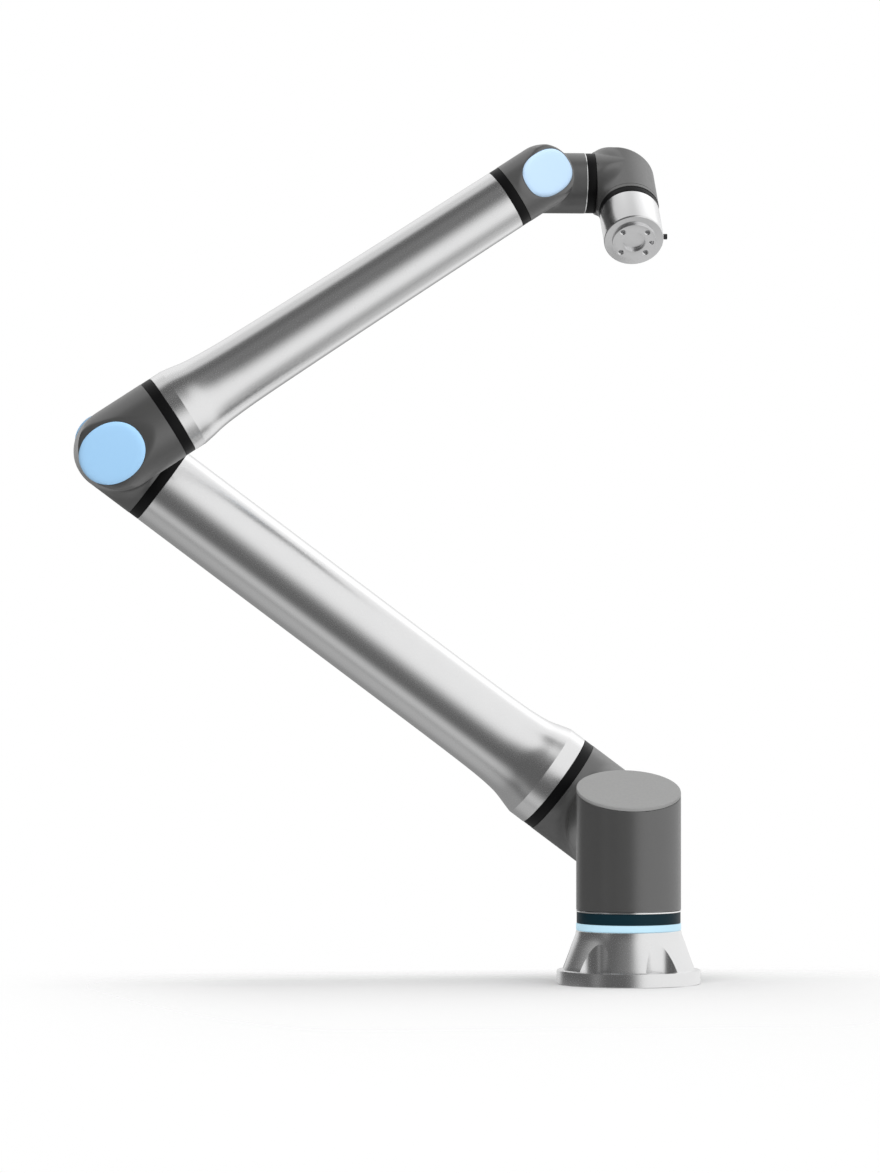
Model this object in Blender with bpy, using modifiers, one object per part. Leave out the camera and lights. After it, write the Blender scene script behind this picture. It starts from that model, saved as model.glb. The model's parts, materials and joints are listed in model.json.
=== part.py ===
"""Six-axis collaborative robot arm with a long reach, standing on a round foot.

Frame: origin at the centre of the mounting face, +Z up, +X along the upper row of links,
+Y away from the side that the forearm is on. Metres. The arm is held in one posture: the
upper arm leans back over the foot and the forearm comes forward again above it.

Each joint is a round housing of tee shape: its motor's leg ends at the joint's plane, the other
leg holds a link or stands on the joint before, and a cap closes the back of the motor. A housing
is made in its own frame, with +Z towards the joint's plane, +X along the other leg and the cap on
the -Z side.
"""
from math import cos, pi, radians, sin, tan

import bmesh
import bpy
from mathutils import Matrix, Vector

# Driving dimensions
SHOULDER_HEIGHT = 0.2186
UPPER_ARM_LENGTH = 0.8989
FOREARM_LENGTH = 0.7149
UPPER_ARM_Y = 0.197
FOREARM_Y = 0.049
WRIST_Y = 0.1824
WRIST_2_REACH = 0.1361
TOOL_REACH = 0.1434

UPPER_ARM_ANGLE = radians(36.92)
FOREARM_ANGLE = radians(32.89)
TOOL_ANGLE = radians(39.9)

SHOULDER_RADIUS = 0.0743
ELBOW_RADIUS = 0.0600
FOREARM_END_RADIUS = 0.0449
WRIST_RADIUS = 0.0437
FOOT_RADIUS = 0.102

SHOULDER_PLANE_Y = 0.100
ELBOW_PLANE_Y = (UPPER_ARM_Y + FOREARM_Y) / 2
WRIST_1_PLANE_Y = (FOREARM_Y + WRIST_Y) / 2
WRIST_2_PLANE = 0.0910

WALL = 0.0055
BAND = 0.0155
NARROW_BAND = 0.0140
GAP = 0.0003
ROUND = 28
INNER_ROUND = 18

# Heights on the foot
RIM_TOP = 0.020
CAST_TOP = 0.0760
LIGHT_TOP = 0.0858
SEAL_TOP = 0.1015
TRIM_TOP = 0.1040
HOUSING_FOOT = 0.1052
POCKET_RADIUS = 0.030
POCKET_CIRCLE = 0.1096
BOLT_CIRCLE = 0.0880
FOOT_RING_BORE = 0.0665
BASE_FLANGE = 0.0652
BOLT_HOLE = 0.0045
BOLT_AZIMUTHS = [radians(60 * k - 157.5) for k in range(6)]

# Points of the linkage
UP_LINK = Vector((-cos(UPPER_ARM_ANGLE), 0, sin(UPPER_ARM_ANGLE)))
OUT_LINK = Vector((cos(FOREARM_ANGLE), 0, sin(FOREARM_ANGLE)))
TOOL_AXIS = Vector((0, -cos(TOOL_ANGLE), -sin(TOOL_ANGLE)))
X, Y, Z = Vector((1, 0, 0)), Vector((0, 1, 0)), Vector((0, 0, 1))
SHOULDER = Z * SHOULDER_HEIGHT
ELBOW = SHOULDER + UP_LINK * UPPER_ARM_LENGTH
WRIST = ELBOW + OUT_LINK * FOREARM_LENGTH
WRIST_1 = WRIST + Y * WRIST_Y
WRIST_2 = WRIST_1 + X * WRIST_2_REACH
FLANGE = WRIST_2 + TOOL_AXIS * TOOL_REACH

# Where the bands round the links lie, from each housing's centre
UPPER_LOW_BAND = 0.0890
UPPER_TOP_BAND = 0.0690
FORE_LOW_BAND = 0.0730
FORE_TOP_BAND = 0.0475
WRIST_1_END = 0.0762
WRIST_2_END = 0.0650
WRIST_3_START = 0.0770
WRIST_3_BORE = 0.0370
WRIST_3_FLOOR = 0.1230
WRIST_RING_WALL = 0.0070
TOOL_RADIUS = 0.0430
TOOL_BOLT_CIRCLE = 0.025
FLANGE_SHOULDER = TOOL_REACH - 0.0050
CONNECTOR_REACH = 0.1287
WRIST_FLANGE = 0.0360
SHOULDER_MOTOR_BACK = 0.018
ELBOW_MOTOR_BACK = 0.014
WRIST_MOTOR_BACK = 0.0095

# A cap's outline, as parts of its housing's radius, and the slant of the face it sits on
CAP_SHIFT = -0.19
CAP_LONG = 0.79
CAP_WIDE = 0.69
CAP_POWER = 2.5
CAP_DEPTH = 0.72
CAP_SLOPE = tan(radians(21))
LID_DEPTH = 0.71
LID_SLOPE = tan(radians(18.4))

for leftover in list(bpy.data.objects):
    bpy.data.objects.remove(leftover)
parts = bpy.data.collections.new("robot_arm")
cutters = bpy.data.collections.new("cutters")
for group in (parts, cutters):
    bpy.context.scene.collection.children.link(group)


def material(name, color, roughness, metallic):
    made = bpy.data.materials.new(name)
    made.use_nodes = True
    shader = made.node_tree.nodes["Principled BSDF"]
    shader.inputs["Base Color"].default_value = (*color, 1)
    shader.inputs["Roughness"].default_value = roughness
    shader.inputs["Metallic"].default_value = metallic
    return made


PAINT = material("gray_paint", (0.13, 0.13, 0.13), 0.45, 0.3)
LID_PAINT = material("lid_paint", (0.28, 0.28, 0.28), 0.5, 0.2)
ALUMINIUM = material("satin_aluminium", (0.72, 0.72, 0.73), 0.3, 1.0)
STEEL = material("steel", (0.55, 0.55, 0.56), 0.25, 1.0)
BLACK = material("black_seal", (0.015, 0.015, 0.016), 0.5, 0.0)
BLUE = material("blue_cap", (0.35, 0.62, 0.90), 0.4, 0.0)
GLOW = material("light_ring", (0.55, 0.85, 1.0), 0.4, 0.0)
COPPER = material("winding", (0.60, 0.33, 0.15), 0.45, 0.6)
BOARD = material("circuit_board", (0.03, 0.20, 0.09), 0.5, 0.0)


# Building blocks
def place(along_x, along_z, origin):
    """The world matrix of a frame whose +Z and +X lie along two given directions."""
    rows = Matrix((along_x, along_z.cross(along_x), along_z)).transposed()
    return Matrix.Translation(origin) @ rows.to_4x4()


def spun(axis, origin):
    """The world matrix of a turned piece whose axis lies along a direction from a point."""
    side = X if abs(axis.dot(X)) < 0.9 else Y
    return place((side - axis * side.dot(axis)).normalized(), axis, origin)


def add(name, mesh, matrix, look):
    """Links a mesh as one named part."""
    made = bpy.data.objects.new(name, mesh)
    made.matrix_world = matrix
    made.data.materials.append(look)
    parts.objects.link(made)
    return made


def helper(name, mesh, matrix):
    """Links a mesh as a hidden cutter."""
    made = bpy.data.objects.new(name, mesh)
    made.matrix_world = matrix
    made.hide_render = True
    made.display_type = "WIRE"
    cutters.objects.link(made)
    return made


def combine(target, other, operation="DIFFERENCE"):
    """Adds a Boolean that cuts the target by the other object, or joins it on."""
    step = target.modifiers.new(other.name, "BOOLEAN")
    step.operation = operation
    step.object = other


def to_mesh(name, shape):
    mesh = bpy.data.meshes.new(name)
    shape.to_mesh(mesh)
    shape.free()
    return mesh


def rod(name, radius, low, high, sides=ROUND):
    """A solid cylinder on the Z axis between two heights."""
    shape = bmesh.new()
    bmesh.ops.create_cone(
        shape, cap_ends=True, segments=sides, radius1=radius, radius2=radius, depth=high - low
    )
    bmesh.ops.translate(shape, verts=shape.verts, vec=(0, 0, (low + high) / 2))
    return to_mesh(name, shape)


def block(name, low, high):
    """A box between two corners."""
    shape = bmesh.new()
    bmesh.ops.create_cube(shape, size=1)
    size = Vector(high) - Vector(low)
    bmesh.ops.scale(shape, verts=shape.verts, vec=size)
    bmesh.ops.translate(shape, verts=shape.verts, vec=Vector(low) + size / 2)
    return to_mesh(name, shape)


def turned(name, profile, matrix, look, sides=ROUND, closed=True):
    """A turned piece. The profile's (radius, height) points run down the outside."""
    mesh = bpy.data.meshes.new(name)
    ends = list(zip(range(len(profile) - 1), range(1, len(profile))))
    if closed:
        ends.append((len(profile) - 1, 0))
    mesh.from_pydata([(r, 0, z) for r, z in profile], ends, [])
    made = add(name, mesh, matrix, look)
    turn = made.modifiers.new("turn", "SCREW")
    turn.steps = turn.render_steps = sides
    turn.use_merge_vertices = True
    turn.merge_threshold = 0.00001
    return made


def ring(name, outer, inner, low, high, matrix, look):
    """A plain ring."""
    return turned(name, [(outer, high), (outer, low), (inner, low), (inner, high)], matrix, look)


def slab(name, outline, heights):
    """A lofted slab. Each layer is (scale of the outline, height at x); the ends are filled."""
    shape = bmesh.new()
    layers = []
    middle = sum((Vector(p) for p in outline), Vector((0, 0))) / len(outline)
    for scale, height in heights:
        flat = [middle + (Vector(p) - middle) * scale for p in outline]
        layers.append([shape.verts.new((x, y, height(x))) for x, y in flat])
    for below, above in zip(layers, layers[1:]):
        for i in range(len(outline)):
            j = (i + 1) % len(outline)
            shape.faces.new((below[i], below[j], above[j], above[i]))
    shape.faces.new(reversed(layers[0]))
    shape.faces.new(layers[-1])
    bmesh.ops.recalc_face_normals(shape, faces=shape.faces)
    return to_mesh(name, shape)


def cap_outline(radius, grow=0.0, sides=24):
    """A rounded square, longer along the link, that sits towards the housing's outer end."""
    points = []
    for i in range(sides):
        turn = 2 * pi * i / sides
        long = abs(cos(turn)) ** (2 / CAP_POWER) * (1 if cos(turn) >= 0 else -1)
        wide = abs(sin(turn)) ** (2 / CAP_POWER) * (1 if sin(turn) >= 0 else -1)
        x = CAP_SHIFT * radius + long * (CAP_LONG * radius + grow)
        points.append((x, wide * (CAP_WIDE * radius + grow)))
    return points


def round_outline(radius, sides=ROUND):
    return [(radius * cos(2 * pi * i / sides), radius * sin(2 * pi * i / sides)) for i in range(sides)]


def slanted(radius, depth, slope, lift=0.0):
    """Height of a housing's slanted back face over x, moved out by lift."""
    return lambda x: -(depth * radius + slope * x) - lift


# Housings
def tee(name, origin, to_plane, to_link, radius, plane, link, is_round_back=False, has_lid=False):
    """A hollow tee housing, open at both legs and at the back."""
    matrix = place(to_link, to_plane, origin)
    link_radius = radius - 0.0002
    far = 3 * radius
    back = -1.12 * radius if is_round_back else -0.98 * radius
    body = add(name, rod(name, radius, back, plane), matrix, PAINT)
    along = matrix @ Matrix.Rotation(pi / 2, 4, "Y")
    if not is_round_back:
        trim = helper(name + "_trim", block(name + "_trim", (-far, -far, -far), (far, far, 0)), matrix)
        channel = helper(name + "_channel", rod(name + "_channel", radius + 0.0003, -2 * far, 2 * far), along)
        combine(trim, channel)
        combine(body, trim)
    leg = helper(name + "_leg", rod(name + "_leg", link_radius, 0, link), along)
    combine(body, leg, "UNION")
    slope, depth = (LID_SLOPE, LID_DEPTH) if has_lid else (CAP_SLOPE, CAP_DEPTH)
    cut = slab(
        name + "_back_cut",
        round_outline(1.9 * radius, 12),
        [(1, slanted(radius, depth, slope, far)), (1, slanted(radius, depth, slope))],
    )
    combine(body, helper(name + "_back_cut", cut, matrix))
    inner = radius - WALL
    motor_bay = rod(name + "_motor_bay", inner, -0.30 * radius, plane + 0.01)
    combine(body, helper(name + "_motor_bay", motor_bay, matrix))
    link_bay = rod(name + "_link_bay", link_radius - WALL, 0, link + 0.01)
    combine(body, helper(name + "_link_bay", link_bay, along))
    hatch_line = round_outline(0.80 * radius) if has_lid else cap_outline(radius, -0.14 * radius)
    hatch = slab(name + "_hatch", hatch_line, [(1, lambda x: -2 * radius), (1, lambda x: 0)])
    combine(body, helper(name + "_hatch", hatch, matrix))
    return body


def cap(name, origin, to_plane, to_link, radius):
    """A soft-edged blue cap in a pocket of its housing's slanted back."""
    matrix = place(to_link, to_plane, origin)
    seat = slanted(radius, CAP_DEPTH, CAP_SLOPE, -0.0030)
    pocket = slab(
        name + "_pocket",
        cap_outline(radius, GAP),
        [(1, slanted(radius, CAP_DEPTH, CAP_SLOPE, 0.5 * radius)), (1, lambda x: seat(x) + GAP)],
    )
    housing = bpy.data.objects[name.replace("_cap", "_housing")]
    combine(housing, helper(name + "_pocket", pocket, matrix))
    layers = [
        (1, seat),
        (1, slanted(radius, CAP_DEPTH, CAP_SLOPE, 0.0008)),
        (0.93, slanted(radius, CAP_DEPTH, CAP_SLOPE, 0.0026)),
        (0.70, slanted(radius, CAP_DEPTH, CAP_SLOPE, 0.0036)),
    ]
    return add(name, slab(name, cap_outline(radius), layers), matrix, BLUE)


def drive(name, axis, origin, radius, plane, depth, parent_bore, reach=0.0105):
    """The working parts of one joint, seen from its centre towards its plane."""
    matrix = spun(axis, origin)
    inner = radius - WALL - GAP
    bore = 0.42 * inner
    front = plane - 0.18 * inner
    gear_end = front - 0.35 * inner
    turned(
        name + "_motor_stator",
        [(inner - 0.001, gear_end - 0.002), (inner - 0.001, -depth), (bore + 0.004, -depth),
         (bore + 0.004, gear_end - 0.002)],
        matrix, COPPER, INNER_ROUND,
    )
    turned(
        name + "_motor_rotor",
        [(bore, gear_end - 0.002), (bore, -depth + 0.001), (0.55 * bore, -depth + 0.001),
         (0.55 * bore, gear_end - 0.002)],
        matrix, STEEL, INNER_ROUND,
    )
    turned(
        name + "_gear_ring",
        [(inner - 0.0004, front - 0.002), (inner - 0.0004, gear_end), (0.62 * inner, gear_end),
         (0.62 * inner, front - 0.002)],
        matrix, STEEL, INNER_ROUND,
    )
    turned(
        name + "_output_flange",
        [(parent_bore, plane + reach), (parent_bore, plane + 0.0008),
         (inner - 0.0025, plane + 0.0008), (inner - 0.0025, front), (0.40 * inner, front),
         (0.40 * inner, plane + reach)],
        matrix, STEEL, 24,
    )


def board(name, origin, to_plane, to_link, radius, depth):
    """The circuit board between a motor and its cap."""
    disc = rod(name, 0.48 * radius, -depth - 0.0030, -depth - 0.0014, INNER_ROUND)
    at = place(to_link, to_plane, origin) @ Matrix.Translation((-0.10 * radius, 0, 0))
    add(name, disc, at, BOARD)


# Foot
def make_foot():
    casting = turned(
        "base_casting",
        [(0, CAST_TOP - 0.050), (0.058, CAST_TOP - 0.050), (0.058, CAST_TOP - 0.012),
         (0.066, CAST_TOP - 0.012), (0.066, CAST_TOP), (0.0740, CAST_TOP), (0.0765, CAST_TOP - 0.005),
         (0.0830, 0.0520), (0.0905, 0.0350), (0.0955, RIM_TOP + 0.003), (0.0975, RIM_TOP),
         (FOOT_RADIUS - 0.0015, RIM_TOP), (FOOT_RADIUS, RIM_TOP - 0.0015), (FOOT_RADIUS, 0.0010),
         (FOOT_RADIUS - 0.0010, 0), (0, 0)],
        Matrix(), ALUMINIUM, 36, closed=False,
    )
    for number, azimuth in enumerate(BOLT_AZIMUTHS, 1):
        spoke = Vector((sin(azimuth), -cos(azimuth), 0))
        pocket = rod(f"foot_pocket_{number}", POCKET_RADIUS, RIM_TOP + 0.0002, CAST_TOP - 0.004, 28)
        at = Matrix.Translation(spoke * POCKET_CIRCLE)
        combine(casting, helper(f"foot_pocket_{number}", pocket, at))
        hole = rod(f"bolt_hole_{number}", BOLT_HOLE, -0.01, RIM_TOP + 0.005, 12)
        combine(casting, helper(f"bolt_hole_{number}", hole, Matrix.Translation(spoke * BOLT_CIRCLE)))
    socket_hole = rod("socket_hole", 0.0115, 0, 0.15, 20)
    socket_place = spun(Y, Z * 0.045)
    combine(casting, helper("socket_hole", socket_hole, socket_place))
    turned(
        "base_cable_socket",
        [(0, 0.0800), (0.0080, 0.0800), (0.0080, 0.0960), (0.0110, 0.0960), (0.0110, 0.0600), (0, 0.0600)],
        socket_place, BLACK, 20, closed=False,
    )
    ring("base_light_ring", 0.0745, FOOT_RING_BORE, CAST_TOP + GAP, LIGHT_TOP, Matrix(), GLOW)
    ring("base_joint_seal", 0.0736, FOOT_RING_BORE, LIGHT_TOP + GAP, SEAL_TOP, Matrix(), BLACK)


def make_shoulder():
    tee("shoulder_housing", SHOULDER, -Z, Y, SHOULDER_RADIUS, SHOULDER_HEIGHT - HOUSING_FOOT,
        SHOULDER_PLANE_Y - GAP, is_round_back=True, has_lid=True)
    ring("shoulder_trim_ring", SHOULDER_RADIUS, FOOT_RING_BORE, SEAL_TOP + 2 * GAP, TRIM_TOP,
         Matrix(), ALUMINIUM)
    surface = slanted(SHOULDER_RADIUS, LID_DEPTH, LID_SLOPE, GAP)
    lid = slab(
        "shoulder_lid",
        round_outline(SHOULDER_RADIUS),
        [(1, surface), (1, lambda x: surface(x) - 0.0030), (0.975, lambda x: surface(x) - 0.0042)],
    )
    add("shoulder_lid", lid, place(Y, -Z, SHOULDER), LID_PAINT)


def link(name, start, axis, profile, bore_points):
    """A link's hollow tube: (distance, radius) points along the axis, outside and inside."""
    outside = [(radius, distance) for distance, radius in reversed(profile)]
    inside = [(radius - 0.0045, distance) for distance, radius in bore_points]
    return turned(name, outside + inside, spun(axis, start), ALUMINIUM)


def band(name, start, axis, distance, radius, width=BAND):
    return ring(
        name, radius - 0.0004, radius - 0.0080, distance + GAP, distance + width - GAP,
        spun(axis, start), BLACK,
    )


def make_upper_arm():
    low, high = SHOULDER + Y * UPPER_ARM_Y, ELBOW + Y * UPPER_ARM_Y
    tee("upper_arm_shoulder_housing", low, -Y, UP_LINK, SHOULDER_RADIUS,
        UPPER_ARM_Y - SHOULDER_PLANE_Y - GAP, UPPER_LOW_BAND)
    cap("upper_arm_shoulder_cap", low, -Y, UP_LINK, SHOULDER_RADIUS)
    band("upper_arm_lower_band", low, UP_LINK, UPPER_LOW_BAND, SHOULDER_RADIUS)
    end = UPPER_ARM_LENGTH - UPPER_TOP_BAND - BAND
    start = UPPER_LOW_BAND + BAND
    outside = [(start, SHOULDER_RADIUS), (0.1290, SHOULDER_RADIUS), (0.1400, 0.0711), (0.1620, 0.0650),
               (0.1840, 0.0621), (0.2130, 0.0608), (0.2600, ELBOW_RADIUS), (end, ELBOW_RADIUS)]
    link("upper_arm_tube", low, UP_LINK, outside,
         [(start, SHOULDER_RADIUS), (0.1280, SHOULDER_RADIUS), (0.1800, ELBOW_RADIUS), (end, ELBOW_RADIUS)])
    band("upper_arm_upper_band", high, -UP_LINK, UPPER_TOP_BAND, ELBOW_RADIUS)
    tee("upper_arm_elbow_housing", high, -Y, -UP_LINK, ELBOW_RADIUS,
        UPPER_ARM_Y - ELBOW_PLANE_Y - GAP, UPPER_TOP_BAND)
    cap("upper_arm_elbow_cap", high, -Y, -UP_LINK, ELBOW_RADIUS)


def make_forearm():
    low, high = ELBOW + Y * FOREARM_Y, WRIST + Y * FOREARM_Y
    tee("forearm_elbow_housing", low, Y, OUT_LINK, ELBOW_RADIUS,
        ELBOW_PLANE_Y - FOREARM_Y - GAP, FORE_LOW_BAND)
    cap("forearm_elbow_cap", low, Y, OUT_LINK, ELBOW_RADIUS)
    band("forearm_lower_band", low, OUT_LINK, FORE_LOW_BAND, ELBOW_RADIUS)
    end = FOREARM_LENGTH - FORE_TOP_BAND - NARROW_BAND
    start = FORE_LOW_BAND + BAND
    outside = [(start, ELBOW_RADIUS), (0.1060, ELBOW_RADIUS), (0.1200, 0.0580), (0.1400, 0.0541),
               (0.1600, 0.0521), (0.2000, 0.0500), (0.2900, 0.0483), (0.4200, 0.0466),
               (0.5600, 0.0454), (end, FOREARM_END_RADIUS)]
    link("forearm_tube", low, OUT_LINK, outside,
         [(start, ELBOW_RADIUS), (0.1040, ELBOW_RADIUS), (0.1600, 0.0510), (end, FOREARM_END_RADIUS)])
    band("forearm_upper_band", high, -OUT_LINK, FORE_TOP_BAND, FOREARM_END_RADIUS, NARROW_BAND)
    tee("forearm_wrist_housing", high, Y, -OUT_LINK, FOREARM_END_RADIUS,
        WRIST_1_PLANE_Y - FOREARM_Y - GAP, FORE_TOP_BAND)
    cap("forearm_wrist_cap", high, Y, -OUT_LINK, FOREARM_END_RADIUS)


def make_wrist():
    tee("wrist_1_housing", WRIST_1, X, -Y, WRIST_RADIUS, WRIST_1_END, WRIST_Y - WRIST_1_PLANE_Y - GAP)
    cap("wrist_1_cap", WRIST_1, X, -Y, WRIST_RADIUS)
    bore = WRIST_RADIUS - WRIST_RING_WALL
    ring("wrist_1_trim_ring", WRIST_RADIUS, bore, WRIST_1_END + GAP, WRIST_1_END + 0.0018,
         spun(X, WRIST_1), ALUMINIUM)
    ring("wrist_2_joint_seal", WRIST_RADIUS - 0.0004, bore, WRIST_1_END + 0.0022, WRIST_2_PLANE,
         spun(X, WRIST_1), BLACK)
    tee("wrist_2_housing", WRIST_2, TOOL_AXIS, -X, WRIST_RADIUS, WRIST_2_END,
        WRIST_2_REACH - WRIST_2_PLANE - GAP, is_round_back=True)
    cap("wrist_2_cap", WRIST_2, TOOL_AXIS, -X, WRIST_RADIUS)
    tool = place(X, TOOL_AXIS, WRIST_2)
    ring("wrist_3_joint_seal", TOOL_RADIUS, 0.0365, WRIST_2_END + GAP, WRIST_3_START - GAP, tool, BLACK)
    body = turned(
        "tool_flange",
        [(0, TOOL_REACH - 0.0062), (0.01575, TOOL_REACH - 0.0062), (0.01575, TOOL_REACH),
         (0.0310, TOOL_REACH), (0.0315, TOOL_REACH - 0.0005), (0.0315, FLANGE_SHOULDER),
         (0.0415, FLANGE_SHOULDER), (TOOL_RADIUS, FLANGE_SHOULDER - 0.0018), (TOOL_RADIUS, WRIST_3_START),
         (WRIST_3_BORE, WRIST_3_START), (WRIST_3_BORE, WRIST_3_FLOOR), (0, WRIST_3_FLOOR)],
        tool, ALUMINIUM, ROUND, closed=False,
    )
    out = Matrix.Translation(X * TOOL_BOLT_CIRCLE)
    for number in range(4):
        turn = Matrix.Rotation(pi / 4 + number * pi / 2, 4, "Z") @ out
        hole = rod(f"tool_screw_hole_{number + 1}", 0.0030, TOOL_REACH - 0.0120, TOOL_REACH + 0.01, 12)
        combine(body, helper(f"tool_screw_hole_{number + 1}", hole, tool @ turn))
    dowel = rod("tool_dowel_hole", 0.0030, TOOL_REACH - 0.0080, TOOL_REACH + 0.01, 12)
    combine(body, helper("tool_dowel_hole", dowel, tool @ out))
    stub = spun(X, WRIST_2 + TOOL_AXIS * CONNECTOR_REACH)
    combine(body, helper("tool_socket_hole", rod("tool_socket_hole", 0.0043, 0.0395, 0.060, 16), stub))
    turned(
        "tool_connector",
        [(0, 0.0450), (0.0022, 0.0450), (0.0022, 0.0487), (0.0040, 0.0487), (0.0040, 0.0400), (0, 0.0400)],
        stub, BLACK, 16, closed=False,
    )


def make_drives():
    base_plane = SHOULDER_HEIGHT - HOUSING_FOOT
    upper = SHOULDER + Y * UPPER_ARM_Y
    fore = ELBOW + Y * FOREARM_Y
    near_wrist = WRIST + Y * FOREARM_Y
    drive("base", -Z, SHOULDER, SHOULDER_RADIUS, base_plane, SHOULDER_MOTOR_BACK, BASE_FLANGE,
          HOUSING_FOOT - CAST_TOP + 0.0115)
    drive("shoulder", -Y, upper, SHOULDER_RADIUS, UPPER_ARM_Y - SHOULDER_PLANE_Y, SHOULDER_MOTOR_BACK,
          SHOULDER_RADIUS - WALL - 3 * GAP)
    drive("elbow", Y, fore, ELBOW_RADIUS, ELBOW_PLANE_Y - FOREARM_Y, ELBOW_MOTOR_BACK,
          ELBOW_RADIUS - WALL - 2 * GAP)
    drive("wrist_1", Y, near_wrist, FOREARM_END_RADIUS, WRIST_1_PLANE_Y - FOREARM_Y, WRIST_MOTOR_BACK,
          WRIST_RADIUS - WALL - 3 * GAP)
    drive("wrist_2", X, WRIST_1, WRIST_RADIUS, WRIST_1_END, WRIST_MOTOR_BACK, WRIST_FLANGE,
          WRIST_2_PLANE - WRIST_1_END + 0.0060)
    drive("wrist_3", TOOL_AXIS, WRIST_2, WRIST_RADIUS, WRIST_2_END, WRIST_MOTOR_BACK, WRIST_FLANGE,
          WRIST_3_START - WRIST_2_END + 0.0080)
    board("base_drive_board", SHOULDER, -Z, Y, SHOULDER_RADIUS, SHOULDER_MOTOR_BACK)
    board("shoulder_drive_board", upper, -Y, UP_LINK, SHOULDER_RADIUS, SHOULDER_MOTOR_BACK)
    board("elbow_drive_board", fore, Y, OUT_LINK, ELBOW_RADIUS, ELBOW_MOTOR_BACK)
    board("wrist_1_drive_board", near_wrist, Y, -OUT_LINK, FOREARM_END_RADIUS, WRIST_MOTOR_BACK)
    board("wrist_2_drive_board", WRIST_1, X, -Y, WRIST_RADIUS, WRIST_MOTOR_BACK)
    board("wrist_3_drive_board", WRIST_2, TOOL_AXIS, -X, WRIST_RADIUS, WRIST_MOTOR_BACK)


make_foot()
make_shoulder()
make_upper_arm()
make_forearm()
make_wrist()
make_drives()
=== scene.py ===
"""The looks of a six-axis collaborative robot arm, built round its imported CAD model.

Each joint housing is a smooth tee whose surface is worked out along rays from its centre, cut to
length, with a pocket for its cap. Tubes, bands and the foot are turned. Lengths are in metres, and
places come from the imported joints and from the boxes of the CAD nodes.
"""
import json
from math import cos, pi, radians, sin, sqrt, tan

import bmesh
import bpy
import numpy as np
from mathutils import Matrix, Vector


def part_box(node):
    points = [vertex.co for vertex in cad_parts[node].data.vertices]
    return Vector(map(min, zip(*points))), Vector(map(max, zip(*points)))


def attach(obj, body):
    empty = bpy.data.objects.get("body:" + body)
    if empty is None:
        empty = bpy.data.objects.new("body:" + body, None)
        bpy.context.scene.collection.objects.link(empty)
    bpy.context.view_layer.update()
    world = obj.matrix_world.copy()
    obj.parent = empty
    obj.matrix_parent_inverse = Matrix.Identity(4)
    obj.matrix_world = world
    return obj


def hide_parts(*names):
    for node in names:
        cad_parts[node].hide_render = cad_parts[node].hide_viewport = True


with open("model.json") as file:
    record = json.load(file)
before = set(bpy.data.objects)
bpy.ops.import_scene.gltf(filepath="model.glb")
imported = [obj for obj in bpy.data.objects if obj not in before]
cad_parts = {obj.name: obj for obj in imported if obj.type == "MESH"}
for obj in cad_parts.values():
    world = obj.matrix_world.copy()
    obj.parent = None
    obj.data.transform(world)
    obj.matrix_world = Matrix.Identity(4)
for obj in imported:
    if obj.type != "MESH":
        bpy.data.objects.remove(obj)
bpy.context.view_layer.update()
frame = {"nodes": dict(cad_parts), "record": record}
NODES = frame["nodes"]
JOINTS = {joint["name"]: joint for joint in frame["record"]["behaviour"]["joints"]}
X, Y, Z = Vector((1, 0, 0)), Vector((0, 1, 0)), Vector((0, 0, 1))

# ---- Sizes that belong to the looks; the same as in the CAD model where they are there too
SHOULDER_RADIUS = 0.0743
ELBOW_RADIUS = 0.0600
FOREARM_END_RADIUS = 0.0449
WRIST_RADIUS = 0.0437
FOOT_RADIUS = 0.102
BAND = 0.0155
NARROW_BAND = 0.0140
SEAM = 0.0003
JOINT_GAP = 0.0008

# Where the bands round the links lie, from each housing's centre
UPPER_LOW_BAND = 0.0890
UPPER_TOP_BAND = 0.0690
FORE_LOW_BAND = 0.0730
FORE_TOP_BAND = 0.0475

# The foot
FOOT_RING_BORE = 0.0665
POCKET_RADIUS = 0.030
POCKET_CIRCLE = 0.1096
BOLT_HOLE = 0.0045
BOLT_CIRCLE = 0.0880

# The wrist and the tool flange
WRIST_1_END = 0.0762
WRIST_2_END = 0.0650
WRIST_2_LINK = 0.0448
WRIST_RING_WALL = 0.007
WRIST_3_START = 0.0770
TOOL_RADIUS = 0.0430
TOOL_REACH = 0.1434
TOOL_BOLT_CIRCLE = 0.025
CONNECTOR_REACH = 0.1287

FOREARM_Y = 0.049
UPPER_ARM_Y = 0.197


def joint_point(name):
    return Vector(JOINTS[name]["pos_m"])


SHOULDER = Vector((0, 0, joint_point("shoulder_lift").z))
ELBOW = Vector((joint_point("elbow").x, 0, joint_point("elbow").z))
WRIST = Vector((joint_point("wrist_1").x, 0, joint_point("wrist_1").z))
WRIST_2 = joint_point("wrist_2")
WRIST_1 = Vector((WRIST.x, WRIST_2.y, WRIST.z))
TOOL_AXIS = Vector(JOINTS["wrist_3"]["axis"]).normalized()
UP_LINK = (ELBOW - SHOULDER).normalized()
OUT_LINK = (WRIST - ELBOW).normalized()
UPPER_LENGTH = (ELBOW - SHOULDER).length
FORE_LENGTH = (WRIST - ELBOW).length
SHOULDER_PLANE_Y = joint_point("shoulder_lift").y
ELBOW_PLANE_Y = joint_point("elbow").y
WRIST_1_PLANE_Y = joint_point("wrist_1").y


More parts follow.
